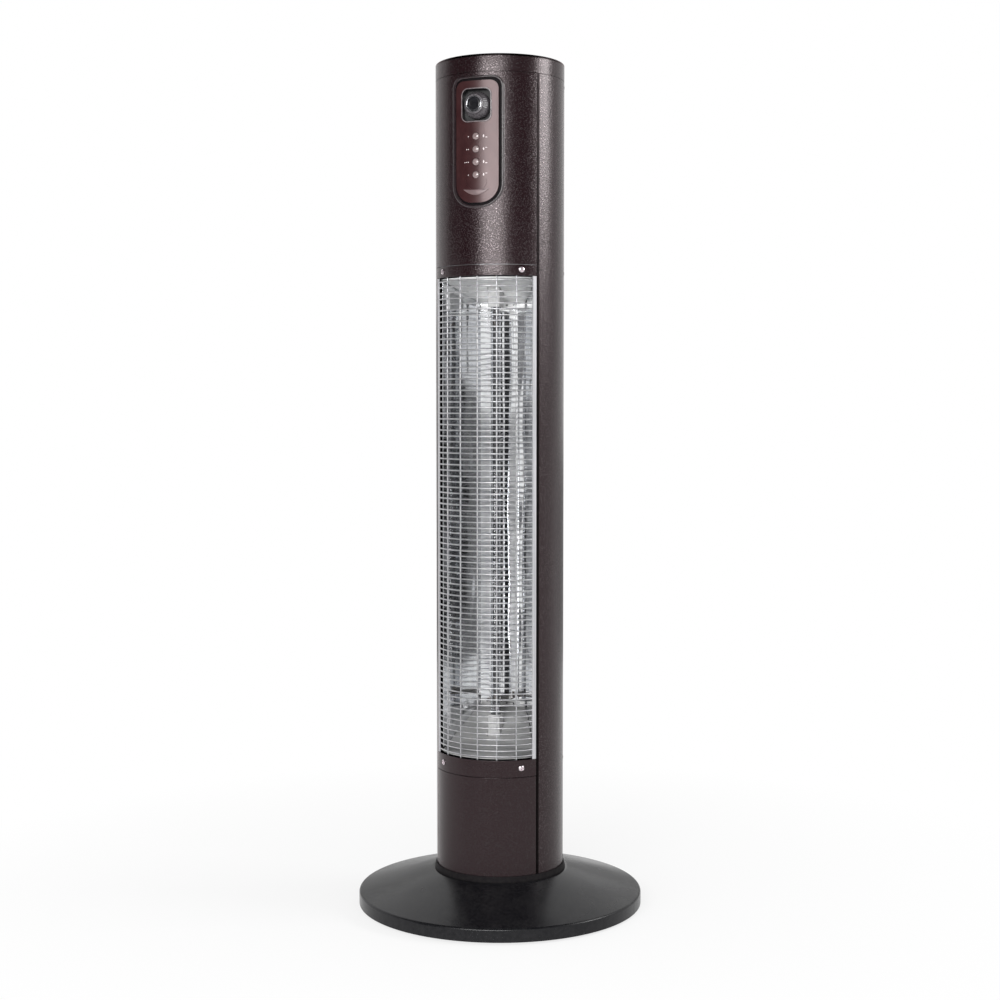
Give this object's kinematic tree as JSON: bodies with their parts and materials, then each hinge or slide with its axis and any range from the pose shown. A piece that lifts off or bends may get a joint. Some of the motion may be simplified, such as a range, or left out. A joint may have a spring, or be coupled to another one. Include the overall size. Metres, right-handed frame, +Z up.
{
  "type": "infrared patio heater tower",
  "caption": "Free-standing infrared heater: a dark round column with a wire-guarded reflector window, head controls and a shallow domed base.",
  "frame": {"origin": "on the floor at the middle of the round base", "axes": "+Z up along the column, -Y out of the heater window and the controls, +X to the right of someone facing the front"},
  "size_m": [0.34, 0.34, 1],
  "materials": {
    "shell_paint": "dark bronze-black textured paint",
    "base_paint": "satin black paint",
    "ballast": "cast mineral ballast",
    "feet_rubber": "matt",
    "screw_steel": "plated",
    "zinc_steel": "zinc plated sheet",
    "guard_chrome": "bright plated wire",
    "reflector_aluminium": "polished",
    "quartz": "clear quartz",
    "carbon": "woven carbon",
    "ceramic_white": "unglazed",
    "black_plastic": "fine texture",
    "gloss_bronze": "glossy dark bronze",
    "gloss_black": "gloss",
    "button_plastic": "pearl",
    "board_green": "solder mask",
    "lead_jacket": "silicone sleeve"
  },
  "bodies": {
    "heater": {"base_ballast": "ballast", "base_cover": "base_paint", "board_components": "black_plastic", "board_screws": "screw_steel", "cable_gland": "black_plastic", "column_bolts": "zinc_steel", "column_nuts": "zinc_steel", "column_socket": "zinc_steel", "control_bezel": "gloss_black", "control_board": "board_green", "control_carrier": "black_plastic", "control_fascia": "gloss_bronze", "cover_screws": "zinc_steel", "foot_collar": "base_paint", "gland_nut": "black_plastic", "guard_cross_wires": "guard_chrome", "guard_lower_band": "shell_paint", "guard_screws": "screw_steel", "guard_side_strips": "guard_chrome", "guard_upper_band": "shell_paint", "guard_uprights": "guard_chrome", "head_front_panel": "shell_paint", "heat_shield": "zinc_steel", "knob_well": "black_plastic", "lamp_element": "carbon", "lamp_end_caps": "ceramic_white", "lamp_leads": "lead_jacket", "lamp_tube": "quartz", "lower_bulkhead": "zinc_steel", "lower_end_reflector": "reflector_aluminium", "lower_front_panel": "shell_paint", "lower_lamp_holder": "zinc_steel", "lower_reflector_bracket": "zinc_steel", "rear_screws": "screw_steel", "rear_shell": "shell_paint", "reflector": "reflector_aluminium", "riser_leads": "lead_jacket", "rotary_switch": "black_plastic", "rubber_feet": "feet_rubber", "supply_lead": "lead_jacket", "switch_nut": "screw_steel", "tact_switches": "black_plastic", "terminal_block": "ceramic_white", "thermal_cutout": "zinc_steel", "tip_switch": "black_plastic", "top_cap": "shell_paint", "upper_bulkhead": "zinc_steel", "upper_end_reflector": "reflector_aluminium", "upper_lamp_holder": "zinc_steel", "upper_reflector_bracket": "zinc_steel"},
    "knob_turning": {"knob": "gloss_black", "knob_cap": "gloss_black", "knob_ring": "guard_chrome", "knob_shaft": "screw_steel"},
    "button_one": {"button_1": "button_plastic"},
    "button_two": {"button_2": "button_plastic"},
    "button_three": {"button_3": "button_plastic"},
    "button_four": {"button_4": "button_plastic"},
    "plunger": {"tip_plunger": "gloss_black"}
  },
  "joints": [
    {"name": "knob_turn", "type": "hinge", "parent": "heater", "child": "knob_turning", "pos_m": [0, -0.076, 0.9425], "axis": [0, 1, 0], "range_deg": [0, 135]},
    {"name": "press_1", "type": "slide", "parent": "heater", "child": "button_one", "axis": [0, 1, 0], "range_m": [0, 0.0012], "stiffness_N_per_m": 600},
    {"name": "press_2", "type": "slide", "parent": "heater", "child": "button_two", "axis": [0, 1, 0], "range_m": [0, 0.0012], "stiffness_N_per_m": 600},
    {"name": "press_3", "type": "slide", "parent": "heater", "child": "button_three", "axis": [0, 1, 0], "range_m": [0, 0.0012], "stiffness_N_per_m": 600},
    {"name": "press_4", "type": "slide", "parent": "heater", "child": "button_four", "axis": [0, 1, 0], "range_m": [0, 0.0012], "stiffness_N_per_m": 600},
    {"name": "tip_switch_press", "type": "slide", "parent": "heater", "child": "plunger", "axis": [0, 0, 1], "range_m": [-0.005, 0], "stiffness_N_per_m": 300, "springref_m": -0.005}
  ]
}
